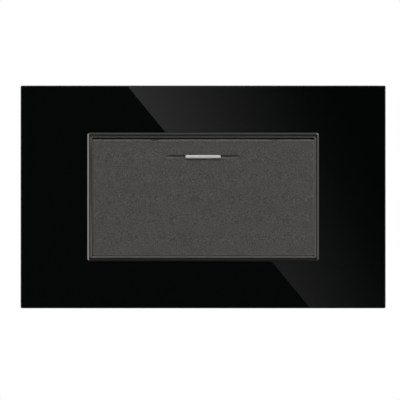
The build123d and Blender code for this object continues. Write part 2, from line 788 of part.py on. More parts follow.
# Brass wire clamps: a block with the wire's bore and a threaded hole for its screw
for name, (x, z) in clamp_places.items():
    with BuildPart() as clamp:
        with BuildSketch(at_height(clamp_rear)):
            with Locations((x, z)):
                Rectangle(clamp_width, clamp_length)
        extrude(amount=clamp_depth)
        chamfer(clamp.edges().filter_by(Axis.Z), clamp_edge)
        with BuildSketch(Plane.XY):
            with Locations((x, -wire_bore_height)):
                Circle(wire_bore_radius)
        extrude(amount=base_height, both=True, mode=Mode.SUBTRACT)
        with BuildSketch(at_height(clamp_rear)):
            with Locations((x, z)):
                Circle(clamp_thread_radius)
        extrude(amount=wire_bore_height - clamp_rear, mode=Mode.SUBTRACT)
    save(clamp, f"clamp_{name}")

# Slotted clamp screws, backed off so that the bores stand open
screw_tip = wire_bore_height - wire_bore_radius - clamp_screw_retreat
screw_head_front = clamp_rear - clamp_screw_lift
screw_head_rear = screw_head_front - clamp_screw_head
with BuildPart() as clamp_screws:
    for x, z in clamp_places.values():
        with BuildSketch(at_height(screw_head_front)):
            with Locations((x, z)):
                Circle(clamp_screw_radius)
        extrude(amount=screw_tip - screw_head_front)
        with BuildSketch(at_height(screw_head_rear)):
            with Locations((x, z)):
                Circle(clamp_screw_head_radius)
        extrude(amount=clamp_screw_head)
    with BuildSketch(at_height(screw_head_rear)):
        for x, z in clamp_places.values():
            with Locations((x, z)):
                Rectangle(2 * clamp_screw_head_radius, screw_slot_width, rotation=35)
                Rectangle(screw_slot_width, clamp_screw_head_radius, rotation=35)
    extrude(amount=screw_slot_depth, mode=Mode.SUBTRACT)
save(clamp_screws, "clamp_screws")

# Rear base: nylon box with the contact chamber, strap channels, clamp wells and wire mouths
well_rear = clamp_rear - clamp_fit
flange_rear = bracket_rear - base_flange_thickness
with BuildPart() as base:
    with BuildSketch(at_height(flange_rear)):
        RectangleRounded(base_flange_width, base_flange_height, base_corner_radius)
    extrude(amount=base_flange_thickness)
    with BuildSketch(at_height(base_rear)):
        RectangleRounded(base_width, base_height, base_corner_radius)
    extrude(amount=base_depth)
    chamfer(base.faces().sort_by(Axis.Y)[-1].edges(), base_rear_chamfer)
    with BuildSketch(at_height(base_rear)):
        Rectangle(base_recess_width, base_recess_height)
    extrude(amount=base_recess_depth, mode=Mode.SUBTRACT)
    with BuildSketch(at_height(strap_rear)):
        Rectangle(chamber_width, chamber_height)
        common_outline(clamp_fit)
        throw_outline(1, clamp_fit)
        throw_outline(-1, clamp_fit)
        light_outline(clamp_fit)
    extrude(amount=bracket_rear - strap_rear, mode=Mode.SUBTRACT)
    with BuildSketch(at_height(well_rear)):
        for x, z in clamp_places.values():
            with Locations((x, z)):
                Rectangle(clamp_width + 2 * clamp_fit, clamp_length + 2 * clamp_fit)
    extrude(amount=strap_rear - well_rear, mode=Mode.SUBTRACT)
    with BuildSketch(at_height(base_rear)):
        for x, z in clamp_places.values():
            with Locations((x, z)):
                Circle(screw_well_radius)
    extrude(amount=well_rear - base_rear, mode=Mode.SUBTRACT)
    for x, z in clamp_places.values():
        outward = 1 if z > 0 else -1
        mouth = Plane(origin=(x, -wire_bore_height, outward * base_height / 2), z_dir=(0, 0, outward))
        with Locations(mouth):
            CounterSinkHole(
                wire_mouth_radius,
                wire_mouth_flare,
                depth=base_height / 2 - clamp_up - clamp_length / 2,
                counter_sink_angle=90,
            )
    with BuildSketch(at_height(flange_rear)):
        with GridLocations(base_screw_across, 0, 2, 1):
            Circle(base_screw_hole_radius)
    extrude(amount=base_flange_thickness, mode=Mode.SUBTRACT)
save(base, "base")

# Two screws that clamp the bracket between the base and the cradle
with BuildPart() as base_screws:
    with BuildSketch(at_height(flange_rear)):
        with GridLocations(base_screw_across, 0, 2, 1):
            Circle(base_screw_radius)
    extrude(amount=boss_top - base_screw_tip_gap - flange_rear)
    with BuildSketch(at_height(flange_rear)):
        with GridLocations(base_screw_across, 0, 2, 1):
            Circle(base_screw_head_radius)
    extrude(amount=-base_screw_head)
    with BuildSketch(at_height(flange_rear - base_screw_head)):
        with GridLocations(base_screw_across, 0, 2, 1):
            Rectangle(base_screw_head_radius, screw_slot_width)
            Rectangle(screw_slot_width, base_screw_head_radius)
    extrude(amount=screw_slot_depth, mode=Mode.SUBTRACT)
save(base_screws, "base_screws")

# Light board on the cradle's floor, behind the light guide
board_front = floor_front + board_thickness
with BuildPart() as light_board:
    with BuildSketch(at_height(floor_front)):
        with Locations((0, board_middle)):
            Rectangle(board_width, board_height)
        with Locations((0, led_pin_up)):
            with GridLocations(2 * led_pin_across, 0, 2, 1):
                Rectangle(led_pin_hole_width, led_pin_hole_width, mode=Mode.SUBTRACT)
    extrude(amount=board_thickness)
save(light_board, "light_board")

# Two light-emitting chips under the light guide's stem
with BuildPart() as light_chips:
    with BuildSketch(at_height(board_front)):
        with Locations((0, scoop_above_centre)):
            with GridLocations(led_spacing, 0, 2, 1):
                Rectangle(led_width, led_height)
    extrude(amount=led_thickness)
    chamfer(light_chips.edges().group_by(Axis.Y)[0], led_thickness / 4)
save(light_chips, "light_chips")

# Series resistor beside the chips
with BuildPart() as light_resistor:
    with BuildSketch(at_height(board_front)):
        with Locations((resistor_offset, scoop_above_centre)):
            Rectangle(resistor_width, resistor_height)
    extrude(amount=resistor_thickness)
save(light_resistor, "light_resistor")

# Square pins that carry current from the straps up to the light board
with BuildPart() as light_pins:
    with BuildSketch(at_height(strap_front)):
        with Locations((0, led_pin_up)):
            with GridLocations(2 * led_pin_across, 0, 2, 1):
                Rectangle(led_pin_width, led_pin_width)
    extrude(amount=board_front + led_pin_rise - strap_front)
save(light_pins, "light_pins")
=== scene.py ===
import json
from math import cos, pi, sin, tau

import bmesh
import bpy
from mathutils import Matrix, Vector


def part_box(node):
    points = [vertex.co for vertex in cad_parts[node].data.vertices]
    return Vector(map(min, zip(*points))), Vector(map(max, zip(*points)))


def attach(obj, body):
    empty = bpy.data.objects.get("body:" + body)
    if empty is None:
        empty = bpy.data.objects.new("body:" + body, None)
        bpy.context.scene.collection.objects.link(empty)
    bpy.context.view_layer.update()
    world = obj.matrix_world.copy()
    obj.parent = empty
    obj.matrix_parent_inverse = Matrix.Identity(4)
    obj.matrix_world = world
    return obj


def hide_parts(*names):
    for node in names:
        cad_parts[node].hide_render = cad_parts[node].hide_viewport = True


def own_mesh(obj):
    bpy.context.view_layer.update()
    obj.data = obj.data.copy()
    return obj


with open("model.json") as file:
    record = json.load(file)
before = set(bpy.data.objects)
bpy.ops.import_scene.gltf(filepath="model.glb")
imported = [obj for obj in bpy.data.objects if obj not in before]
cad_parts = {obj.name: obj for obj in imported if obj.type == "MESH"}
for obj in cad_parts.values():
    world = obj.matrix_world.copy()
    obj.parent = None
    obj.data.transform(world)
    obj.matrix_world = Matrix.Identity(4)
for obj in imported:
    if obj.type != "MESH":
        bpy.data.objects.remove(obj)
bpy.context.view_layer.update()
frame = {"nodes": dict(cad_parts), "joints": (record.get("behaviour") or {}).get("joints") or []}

# Light switch for the wall: a black glass plate with a wide grey rocker key in a metal-grey bezel.
# It is looked at square from the front, as a catalogue shows it. Metres, X right, Z up; the wall
# is the plane Y = 0 and the room is towards -Y. Every finish is made from nodes.


# Camera and studio
# The camera stands on the plate's axis, a little to the left and below, because the plate sits
# three pixels right of and above the picture's middle. A long lens keeps the sides out of sight.
glass_front = -0.010
picture_width = 0.12924  # of the plane of the glass
camera_distance = 0.600  # from the glass
camera_place = Vector((-0.0010, glass_front - camera_distance, -0.0010))

camera_data = bpy.data.cameras.new("catalogue_camera")
camera_data.sensor_width = 36.0
camera_data.lens = camera_data.sensor_width * camera_distance / picture_width
camera_data.clip_start = 0.01
camera = bpy.data.objects.new("catalogue_camera", camera_data)
camera.location = camera_place
camera.rotation_euler = (pi / 2, 0.0, 0.0)
bpy.context.scene.collection.objects.link(camera)
bpy.context.scene.camera = camera
bpy.context.scene.view_settings.view_transform = "Standard"
bpy.context.scene.view_settings.look = "None"


# Room: pure white behind the switch, and grey walls for what the surfaces mirror
# The wall on the left is bright, the one on the right is dimmer, and straight ahead it is dark,
# which is what leaves the glass black. A strip of light over the switch and a small one over its
# right shoulder brighten the bezel's corners, and the wall behind the switch lights its back.
def add(tree, kind, values=(), links=(), **options):
    """Add a node of this kind, with its options, its fixed values and what its inputs come from."""
    node = tree.nodes.new("ShaderNode" + kind)
    for name, option in options.items():
        setattr(node, name, option)
    for name, value in dict(values).items():
        node.inputs[name].default_value = value
    for name, source in dict(links).items():
        tree.links.new(source, node.inputs[name])
    return node


room_dark = 0.026
room_lobes = (
    # direction, the part of it where the lobe starts and where it is full, and its brightness
    ((-1.0, 0.0, 0.0), 0.45, 0.75, 0.57),
    ((1.0, 0.0, 0.0), 0.45, 0.75, 0.18),
    ((1.0, 0.0, 0.0), 0.92, 0.99, 0.33),
    ((0.0, 0.0, 1.0), 0.45, 0.75, 0.10),
    ((0.0, 0.0, -1.0), 0.45, 0.75, 0.005),
    ((0.60, -0.55, 0.58), 0.90, 0.98, 0.50),
    ((0.0, 0.35, 0.94), 0.93, 0.99, 1.20),
    ((0.0, 1.0, 0.0), 0.05, 0.60, 0.80),
)

room = bpy.data.worlds.new("studio_room")
bpy.context.scene.world = room
room.use_nodes = True
tree = room.node_tree
tree.nodes.clear()
direction = add(tree, "TexCoord").outputs["Generated"]
brightness = add(tree, "Value").outputs[0]
brightness.default_value = room_dark
for lobe_direction, start, full, level in room_lobes:
    likeness = add(tree, "VectorMath", {1: lobe_direction}, {0: direction}, operation="DOT_PRODUCT")
    lobe = add(tree, "MapRange", {1: start, 2: full, 3: 0.0, 4: level},
               {0: likeness.outputs["Value"]}, interpolation_type="SMOOTHSTEP")
    brightness = add(tree, "Math", links={0: brightness, 1: lobe.outputs[0]},
                     operation="ADD").outputs[0]
walls = add(tree, "Background", links={"Strength": brightness})
backdrop = add(tree, "Background", {"Color": (1.0, 1.0, 1.0, 1.0), "Strength": 1.0})
seen = add(tree, "LightPath").outputs["Is Camera Ray"]
mixed = add(tree, "MixShader", links={0: seen, 1: walls.outputs[0], 2: backdrop.outputs[0]})
add(tree, "OutputWorld", links={0: mixed.outputs[0]})


# Soft box and fill card
# The box hangs over the camera's right shoulder, and models the scoop and the key's top edge. The
# round card behind the camera keeps the narrow gaps round the key from going black.
over_place = Vector((0.27, -0.70, 1.03))
over_size = (0.60, 0.35)
over_spread = 0.8
over_power = 1.87
fill_place = Vector((0.0, -1.20, 0.0))
fill_size = (0.30, 0.30)
fill_spread = pi
fill_power = 2.6


def soft_light(name, shape, place, size, spread, power):
    """Hang a light with a flat face that looks at the switch, and that no surface mirrors."""
    face = bpy.data.lights.new(name, "AREA")
    face.shape = shape
    face.size, face.size_y = size
    face.spread = spread
    face.energy = power
    light = bpy.data.objects.new(name, face)
    light.location = place
    light.rotation_euler = (-place).to_track_quat("-Z", "Y").to_euler()
    light.visible_glossy = False
    bpy.context.scene.collection.objects.link(light)


soft_light("over_soft_box", "RECTANGLE", over_place, over_size, over_spread, over_power)
soft_light("fill_card", "DISK", fill_place, fill_size, fill_spread, fill_power)


# Tall soft panel beside the camera, seen only as the slanting sheen in the glass
# Its near edge is the slanting line of the sheen, and its light falls off towards its right.
# It is drawn as large as its mirror image on the plate, then scaled out to where it stands.
panel_place = 1.19  # in front of the glass
panel_scale = (camera_distance + panel_place) / camera_distance
panel_edge = ((-0.0320, 0.0450), (0.0421, -0.0450))
panel_right = 0.0900
panel_slant = 0.42
panel_near = -0.010
panel_far = 0.061
panel_light = 0.60
panel_falloff = 1.9


def mesh_piece(name, points, faces):
    """Make a piece from its corner points and the faces between them."""
    shape = bmesh.new()
    corners = [shape.verts.new(point) for point in points]
    for face in faces:
        shape.faces.new([corners[i] for i in face])
    mesh = bpy.data.meshes.new(name)
    shape.to_mesh(mesh)
    shape.free()
    piece = bpy.data.objects.new(name, mesh)
    bpy.context.scene.collection.objects.link(piece)
    return piece


sheen_panel = mesh_piece(
    "sheen_panel",
    [
        (panel_edge[0][0], 0.0, panel_edge[0][1]),
        (panel_right, 0.0, panel_edge[0][1]),
        (panel_right, 0.0, panel_edge[1][1]),
        (panel_edge[1][0], 0.0, panel_edge[1][1]),
    ],
    [(0, 1, 2, 3)],
)
sheen_panel.scale = (panel_scale, panel_scale, panel_scale)
sheen_panel.location = (
    camera_place.x * (1.0 - panel_scale),
    glass_front - panel_place,
    camera_place.z * (1.0 - panel_scale),
)
sheen_panel.visible_camera = False
sheen_panel.visible_diffuse = False
sheen_panel.visible_shadow = False

panel_finish = bpy.data.materials.new("lit_silk_panel")
panel_finish.use_nodes = True
tree = panel_finish.node_tree
tree.nodes.clear()
across = add(tree, "VectorMath", {1: (1.0, 0.0, panel_slant)},
             {0: add(tree, "TexCoord").outputs["Object"]}, operation="DOT_PRODUCT")
dimming = add(tree, "MapRange", {1: panel_far, 2: panel_near, 3: 0.0, 4: 1.0},
              {0: across.outputs["Value"]})
falloff = add(tree, "Math", {1: panel_falloff}, {0: dimming.outputs[0]}, operation="POWER")
glow = add(tree, "Math", {1: panel_light}, {0: falloff.outputs[0]}, operation="MULTIPLY")
silk = add(tree, "Emission", links={"Strength": glow.outputs[0]})
add(tree, "OutputMaterial", links={0: silk.outputs[0]})
sheen_panel.data.materials.append(panel_finish)


# Floor
# A disc of pale matt paint well below the switch, out of the photograph's frame. To the eye it is
# a little lit from within, as under a studio's own lamps, and it throws none of that light.
floor_height = -0.200
floor_radius = 1.05
floor_sides = 96
floor_mottle = 0.17  # soft unevenness of the roller's coats
floor_glow = 0.5


def linear(colour):
    """Turn an sRGB hex colour, such as "484745", into the linear one that Blender mixes."""
    parts = [int(colour[i:i + 2], 16) / 255 for i in (0, 2, 4)]
    return [p / 12.92 if p < 0.04045 else ((p + 0.055) / 1.055) ** 2.4 for p in parts] + [1.0]


def start_finish(name, settings):
    """Start a finish: its material, the tree of its nodes, and its shader with these settings."""
    material = bpy.data.materials.new(name)
    material.use_nodes = True
    tree = material.node_tree
    shader = tree.nodes["Principled BSDF"]
    for socket, value in settings.items():
        shader.inputs[socket].default_value = value
    return material, tree, shader


def tones(tree, factor, *stops):
    """Turn a pattern's strength into a run of colours, each at its own place from 0 to 1."""
    ramp = add(tree, "ValToRGB", links={0: factor})
    while len(ramp.color_ramp.elements) < len(stops):
        ramp.color_ramp.elements.new(0.5)
    for element, (place, colour) in zip(ramp.color_ramp.elements, stops):
        element.position = place
        element.color = linear(colour)
    return ramp.outputs[0]


shape = bmesh.new()
bmesh.ops.create_circle(shape, cap_ends=True, segments=floor_sides, radius=floor_radius)
floor_mesh = bpy.data.meshes.new("studio_floor")
shape.to_mesh(floor_mesh)
shape.free()
floor = bpy.data.objects.new("studio_floor", floor_mesh)
floor.location = (0.0, 0.0, floor_height)
floor.visible_glossy = False
bpy.context.scene.collection.objects.link(floor)

paint, tree, shader = start_finish("matt_floor_paint", {"Roughness": 0.9})
mottle = add(tree, "TexNoise", {"Scale": 1 / floor_mottle, "Detail": 3.0})
shade = tones(tree, mottle.outputs[0], (0.0, "e6e5e3"), (1.0, "efeeec"))
seen = add(tree, "LightPath").outputs["Is Camera Ray"]
lit = add(tree, "Math", {1: floor_glow}, {0: seen}, operation="MULTIPLY")
tree.links.new(shade, shader.inputs["Base Color"])
tree.links.new(shade, shader.inputs["Emission Color"])
tree.links.new(lit.outputs[0], shader.inputs["Emission Strength"])
floor_mesh.materials.append(paint)


# Glass plate
# Soda-lime float glass, 4 mm, arrised, toughened, and fired black on its back. Its faces are
# fire-polished, so they mirror. The arris is ground matt round the plate, and polished round the
# window, where it mirrors almost what the face does.
window_reach = (0.045, 0.030)  # right and up from the middle, between the window and the edge
face_turn = 0.97  # how squarely the face is turned to the room, at least
arris_turn = 0.90  # and the arris, at most
arris_roughness = 0.20


def dress(material, *names):
    """Put a finish on parts of the frame, in place of the plain one that they come with."""
    for name in names:
        for holder in frame["nodes"][name].material_slots:
            holder.material = material


def beyond(tree, reach):
    """Mark what lies further than this from the middle, to the sides or above and below."""
    place = add(tree, "VectorMath", links={0: add(tree, "TexCoord").outputs["Object"]},
                operation="ABSOLUTE")
    place = add(tree, "SeparateXYZ", links={0: place.outputs[0]})
    side = add(tree, "Math", {1: reach[0]}, {0: place.outputs["X"]}, operation="GREATER_THAN")
    end = add(tree, "Math", {1: reach[1]}, {0: place.outputs["Z"]}, operation="GREATER_THAN")
    either = add(tree, "Math", links={0: side.outputs[0], 1: end.outputs[0]}, operation="MAXIMUM")
    return either.outputs[0]


def turned_forward(tree, share):
    """Turn a slope's shading towards the room by this share, as if it were nearly flat."""
    turned = add(tree, "NewGeometry").outputs["Normal"]
    eased = add(tree, "Mix", {5: (0.0, -1.0, 0.0)}, {0: share, 4: turned}, data_type="VECTOR")
    return add(tree, "VectorMath", links={0: eased.outputs[1]}, operation="NORMALIZE").outputs[0]


glass, tree, shader = start_finish("black_fired_toughened_glass", {"IOR": 1.5})
facing = add(tree, "SeparateXYZ", links={0: add(tree, "TexCoord").outputs["Normal"]})
squareness = add(tree, "Math", links={0: facing.outputs["Y"]}, operation="ABSOLUTE")
arris = add(tree, "MapRange", {1: face_turn, 2: arris_turn, 3: 0.0, 4: 1.0},
            {0: squareness.outputs[0]})
outer = beyond(tree, window_reach)
ground = add(tree, "Math", links={0: arris.outputs[0], 1: outer}, operation="MULTIPLY")
polished = add(tree, "Math", links={0: arris.outputs[0], 1: outer},
               operation="SUBTRACT", use_clamp=True)
shade = tones(tree, ground.outputs[0], (0.0, "030404"), (1.0, "101211"))
matt = add(tree, "MapRange", {3: 0.0, 4: arris_roughness}, {0: ground.outputs[0]})
tree.links.new(shade, shader.inputs["Base Color"])
tree.links.new(matt.outputs[0], shader.inputs["Roughness"])
tree.links.new(turned_forward(tree, polished.outputs[0]), shader.inputs["Normal"])
dress(glass, "glass_panel")


# Bezel
# Ring of grey anodised aluminium, bead-blasted first, so it is satin and its bevelled edge shows
# one soft line of light. It is pushed through the window of the glass from behind.
bezel_grit = 0.00012  # blasting grit, 0.12 mm

metal, tree, shader = start_finish("satin_anodised_aluminium", {"Metallic": 1.0, "Roughness": 0.30})
place = add(tree, "TexCoord").outputs["Object"]
grit = add(tree, "TexNoise", {"Scale": 1 / bezel_grit, "Detail": 2.0}, {"Vector": place})
shade = tones(tree, grit.outputs[0], (0.35, "aeadab"), (0.65, "b6b5b3"))
dimple = add(tree, "Bump", {"Strength": 0.08, "Distance": 0.00002}, {"Height": grit.outputs[0]})
tree.links.new(shade, shader.inputs["Base Color"])
tree.links.new(dimple.outputs[0], shader.inputs["Normal"])
dress(metal, "bezel")


# Cradle with the collar round the key
# One moulding of dark grey polycarbonate. Its lip shows as the thin second ring, as matt as the
# spark-eroded mould left it, with a slope so soft that it shades almost like the flat beside it.
spark_grain = 0.00025
lip_turn = (-0.80, -0.85)  # the lip's slope is turned to the room more than this, a wall less
lip_softness = 0.85  # how far the slope shades like the flat beside it

collar, tree, shader = start_finish("moulded_grey_polycarbonate", {"IOR": 1.58, "Roughness": 0.5})
place = add(tree, "TexCoord").outputs["Object"]
grain = add(tree, "TexNoise", {"Scale": 1 / spark_grain, "Detail": 3.0}, {"Vector": place})
shade = tones(tree, grain.outputs[0], (0.3, "454442"), (0.7, "4d4c4a"))
facing = add(tree, "SeparateXYZ", links={0: add(tree, "NewGeometry").outputs["Normal"]})
on_lip = add(tree, "MapRange", {1: lip_turn[0], 2: lip_turn[1], 3: 0.0, 4: lip_softness},
             {0: facing.outputs["Y"]})
dimple = add(tree, "Bump", {"Strength": 0.15, "Distance": 0.00003},
             {"Height": grain.outputs[0], "Normal": turned_forward(tree, on_lip.outputs[0])})
tree.links.new(shade, shader.inputs["Base Color"])
tree.links.new(dimple.outputs[0], shader.inputs["Normal"])
dress(collar, "cradle")


# Rocker key
# Polycarbonate moulding sprayed with a grey lacquer that holds fine aluminium flakes.
# It is matt and a little mottled. Its bevelled edges are painted paler: painted light on the lower
# bevel, which the lamps leave in shade, and a weaker painted highlight on the top and side bevels.
key_fleck = 0.0004  # the real flake is 0.03 mm, drawn as coarse as the picture can show
key_cloud = 0.0025
cloud_share = 0.14  # the rest is fleck
bevel_turn = 0.7  # how squarely the bevel is turned to the room, against 1 for the face
bevel_margin = (0.12, 0.25)  # off that, from still bevel to no more bevel
bevel_reach = (0.0340, 0.0165)  # right and up from the middle, where only the bevel slopes
bevel_below = (-0.30, -0.60)  # how far down the lower bevel is turned, and no other
painted_light_above = 0.20  # share of the lower bevel's painted light that the top and side bevels get

lacquer, tree, shader = start_finish(
    "flaked_grey_lacquer", {"Metallic": 0.25, "Roughness": 0.5, "IOR": 1.5}
)
place = add(tree, "TexCoord").outputs["Object"]
fleck = add(tree, "TexNoise", {"Scale": 1 / key_fleck, "Detail": 2.0}, {"Vector": place})
cloud = add(tree, "TexNoise", {"Scale": 1 / key_cloud, "Detail": 2.0}, {"Vector": place})
both = add(tree, "Mix", {0: cloud_share}, {2: fleck.outputs[0], 3: cloud.outputs[0]})
shade = tones(tree, both.outputs[0], (0.30, "353432"), (0.50, "484745"), (0.70, "5a5957"))
facing = add(tree, "SeparateXYZ", links={0: add(tree, "TexCoord").outputs["Normal"]})
off_bevel = add(tree, "Math", {1: bevel_turn}, {0: facing.outputs["Y"]}, operation="ADD")
off_bevel = add(tree, "Math", links={0: off_bevel.outputs[0]}, operation="ABSOLUTE")
on_bevel = add(tree, "MapRange", {1: bevel_margin[0], 2: bevel_margin[1], 3: 1.0, 4: 0.0},
               {0: off_bevel.outputs[0]})
# Painted light: the bevels are mixed towards a paler grey, fully on the lower bevel and by a share
# on the top and sides.
painted_bevel_light = add(tree, "MapRange", {1: bevel_below[0], 2: bevel_below[1], 3: painted_light_above, 4: 1.0},
              {0: facing.outputs["Z"]})
for mark in (on_bevel.outputs[0], beyond(tree, bevel_reach)):
    painted_bevel_light = add(tree, "Math", links={0: painted_bevel_light.outputs[0], 1: mark}, operation="MULTIPLY")
# the paler grey of the painted bevel light
shade = add(tree, "Mix", {7: linear("747371")}, {0: painted_bevel_light.outputs[0], 6: shade},
            data_type="RGBA").outputs[2]
dimple = add(tree, "Bump", {"Strength": 0.10, "Distance": 0.00003}, {"Height": fleck.outputs[0]})
tree.links.new(shade, shader.inputs["Base Color"])
tree.links.new(dimple.outputs[0], shader.inputs["Normal"])
dress(lacquer, "key")


# Lens of the indicator light
# Opal acrylic light guide, pressed into the key from behind, with light scattering inside it. Its
# colour is painted paler along its middle line and darker towards its long edges, a painted
# highlight and painted shade of its raised bar, mixed with a faint haze.
painted_highlight_width = 0.0006  # from its middle line out to where the painted highlight has faded
lens_haze = 0.0011
painted_highlight_share = 0.8  # the rest is haze

opal, tree, shader = start_finish(
    "opal_acrylic",
    {"IOR": 1.49, "Roughness": 0.25, "Subsurface Weight": 0.5, "Subsurface Scale": 0.0004,
     "Subsurface Radius": (1.0, 1.0, 1.0)},
)
lens_low, lens_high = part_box("lens")
lens_middle = (lens_low[2] + lens_high[2]) / 2
place = add(tree, "TexCoord").outputs["Object"]
up = add(tree, "SeparateXYZ", links={0: place}).outputs["Z"]
off_middle = add(tree, "Math", {1: lens_middle}, {0: up}, operation="SUBTRACT")
off_middle = add(tree, "Math", links={0: off_middle.outputs[0]}, operation="ABSOLUTE")
# Painted highlight: paler along the middle line, darker towards the long edges.
painted_highlight = add(tree, "MapRange", {1: 0.0, 2: painted_highlight_width, 3: 1.0, 4: 0.0}, {0: off_middle.outputs[0]})
haze = add(tree, "TexNoise", {"Scale": 1 / lens_haze, "Detail": 2.0}, {"Vector": place})
haze_and_painted_highlight = add(tree, "Mix", {0: painted_highlight_share}, {2: haze.outputs[0], 3: painted_highlight.outputs[0]})
shade = tones(tree, haze_and_painted_highlight.outputs[0], (0.1, "949492"), (0.5, "a8a8a6"), (0.9, "b0b0ae"))
tree.links.new(shade, shader.inputs["Base Color"])
dress(opal, "lens")


# Tape between the glass and its frame
# Black acrylic foam, die-cut to a ring. Its cut edge is open-celled and fully matt.
foam_cell = 0.0004

foam, tree, shader = start_finish("black_acrylic_foam", {"Roughness": 0.95})
place = add(tree, "TexCoord").outputs["Object"]
cells = add(tree, "TexVoronoi", {"Scale": 1 / foam_cell}, {"Vector": place})
shade = tones(tree, cells.outputs[0], (0.0, "0b0b0b"), (1.0, "1c1c1c"))
pores = add(tree, "Bump", {"Strength": 0.5, "Distance": 0.0001}, {"Height": cells.outputs[0]})
tree.links.new(shade, shader.inputs["Base Color"])
tree.links.new(pores.outputs[0], shader.inputs["Normal"])
dress(foam, "glass_tape")


# Frame behind the glass
# Moulded in black ABS, with ribs, a rim on the wall and snap hooks. It has the fine spark-eroded
# grain of its mould, and soft clouds where the melt flowed.
frame_grain = 0.0003
frame_flow = 0.012

abs_plastic, tree, shader = start_finish("moulded_black_abs", {"IOR": 1.53, "Roughness": 0.5})
place = add(tree, "TexCoord").outputs["Object"]
grain = add(tree, "TexNoise", {"Scale": 1 / frame_grain, "Detail": 3.0}, {"Vector": place})
flow = add(tree, "TexNoise", {"Scale": 1 / frame_flow, "Detail": 2.0}, {"Vector": place})
shade = tones(tree, flow.outputs[0], (0.35, "1a1a1b"), (0.65, "202021"))
dull = add(tree, "MapRange", {1: 0.3, 2: 0.7, 3: 0.42, 4: 0.58}, {0: flow.outputs[0]})
dimple = add(tree, "Bump", {"Strength": 0.2, "Distance": 0.00004}, {"Height": grain.outputs[0]})
tree.links.new(shade, shader.inputs["Base Color"])
tree.links.new(dull.outputs[0], shader.inputs["Roughness"])
tree.links.new(dimple.outputs[0], shader.inputs["Normal"])
dress(abs_plastic, "panel_frame")


# Mounting bracket
# Cold-rolled steel sheet, 1 mm, stamped with stiffening beads, its edges folded back, and then
# bright zinc-plated. The rolling grain runs along it, and the clear passivation leaves a faint
# warm and bluish cloud.
rolling_grain = 0.0004
passivation_cloud = 0.014

zinc_sheet, tree, shader = start_finish("zinc_plated_sheet_steel", {"Metallic": 1.0})
place = add(tree, "TexCoord").outputs["Object"]
along = add(tree, "Mapping", {"Scale": (0.08, 1.0, 1.0)}, {"Vector": place})
grain = add(tree, "TexNoise", {"Scale": 1 / rolling_grain, "Detail": 3.0},
            {"Vector": along.outputs[0]})
cloud = add(tree, "TexNoise", {"Scale": 1 / passivation_cloud, "Detail": 3.0}, {"Vector": place})
shade = tones(tree, cloud.outputs[0], (0.35, "b7b5ac"), (0.50, "b4b5b3"), (0.65, "adb2b6"))
dull = add(tree, "MapRange", {1: 0.3, 2: 0.7, 3: 0.28, 4: 0.44}, {0: grain.outputs[0]})
scratch = add(tree, "Bump", {"Strength": 0.1, "Distance": 0.00002}, {"Height": grain.outputs[0]})
tree.links.new(shade, shader.inputs["Base Color"])
tree.links.new(dull.outputs[0], shader.inputs["Roughness"])
tree.links.new(scratch.outputs[0], shader.inputs["Normal"])
dress(zinc_sheet, "bracket")


# Base in the wall box
# Moulded in off-white polyamide with glass fibre, which gives it a dull, slightly cloudy face.
fibre_cloud = 0.0035
base_grain = 0.0003

nylon, tree, shader = start_finish(
    "moulded_glass_filled_nylon",
    {"IOR": 1.53, "Subsurface Weight": 0.15, "Subsurface Scale": 0.001},
)
place = add(tree, "TexCoord").outputs["Object"]
cloud = add(tree, "TexNoise", {"Scale": 1 / fibre_cloud, "Detail": 4.0}, {"Vector": place})
grain = add(tree, "TexNoise", {"Scale": 1 / base_grain, "Detail": 3.0}, {"Vector": place})
shade = tones(tree, cloud.outputs[0], (0.3, "d3d0c6"), (0.7, "dcd9d0"))
dull = add(tree, "MapRange", {1: 0.3, 2: 0.7, 3: 0.42, 4: 0.58}, {0: cloud.outputs[0]})
dimple = add(tree, "Bump", {"Strength": 0.2, "Distance": 0.00004}, {"Height": grain.outputs[0]})
tree.links.new(shade, shader.inputs["Base Color"])
tree.links.new(dull.outputs[0], shader.inputs["Roughness"])
tree.links.new(dimple.outputs[0], shader.inputs["Normal"])
dress(nylon, "base")


# Screws
# Cold-headed steel, zinc-plated: two that clamp the bracket between base and cradle, and three
# in the wire clamps.
plating_cloud = 0.0012

screw_zinc, tree, shader = start_finish("zinc_plated_screw_steel", {"Metallic": 1.0})
place = add(tree, "TexCoord").outputs["Object"]
cloud = add(tree, "TexNoise", {"Scale": 1 / plating_cloud, "Detail": 3.0}, {"Vector": place})
shade = tones(tree, cloud.outputs[0], (0.3, "b9b6ab"), (0.7, "c6c7c8"))
dull = add(tree, "MapRange", {1: 0.3, 2: 0.7, 3: 0.22, 4: 0.38}, {0: cloud.outputs[0]})
tree.links.new(shade, shader.inputs["Base Color"])
tree.links.new(dull.outputs[0], shader.inputs["Roughness"])
dress(screw_zinc, "base_screws", "clamp_screws")


# Terminal straps, wire clamps and light pins
# Stamped and bent brass strip, left as it comes from the press, with faint brown tarnish.
tarnish_cloud = 0.002
strip_grain = 0.0003

brass, tree, shader = start_finish("stamped_brass", {"Metallic": 1.0})
place = add(tree, "TexCoord").outputs["Object"]
cloud = add(tree, "TexNoise", {"Scale": 1 / tarnish_cloud, "Detail": 3.0}, {"Vector": place})
grain = add(tree, "TexNoise", {"Scale": 1 / strip_grain, "Detail": 2.0}, {"Vector": place})
shade = tones(tree, cloud.outputs[0], (0.3, "b08d4c"), (0.7, "d2b46c"))
dull = add(tree, "MapRange", {1: 0.3, 2: 0.7, 3: 0.38, 4: 0.26}, {0: cloud.outputs[0]})
scratch = add(tree, "Bump", {"Strength": 0.1, "Distance": 0.00002}, {"Height": grain.outputs[0]})
tree.links.new(shade, shader.inputs["Base Color"])
tree.links.new(dull.outputs[0], shader.inputs["Roughness"])
tree.links.new(scratch.outputs[0], shader.inputs["Normal"])
dress(brass, "terminal_common", "terminal_upper", "terminal_lower",
      "clamp_common", "clamp_upper", "clamp_lower", "light_pins")


# Contacts
# Silver-nickel buttons, riveted into the straps and the blade. They are burnished where they meet,
# which leaves small bright and dull specks.
burnish_speck = 0.0007

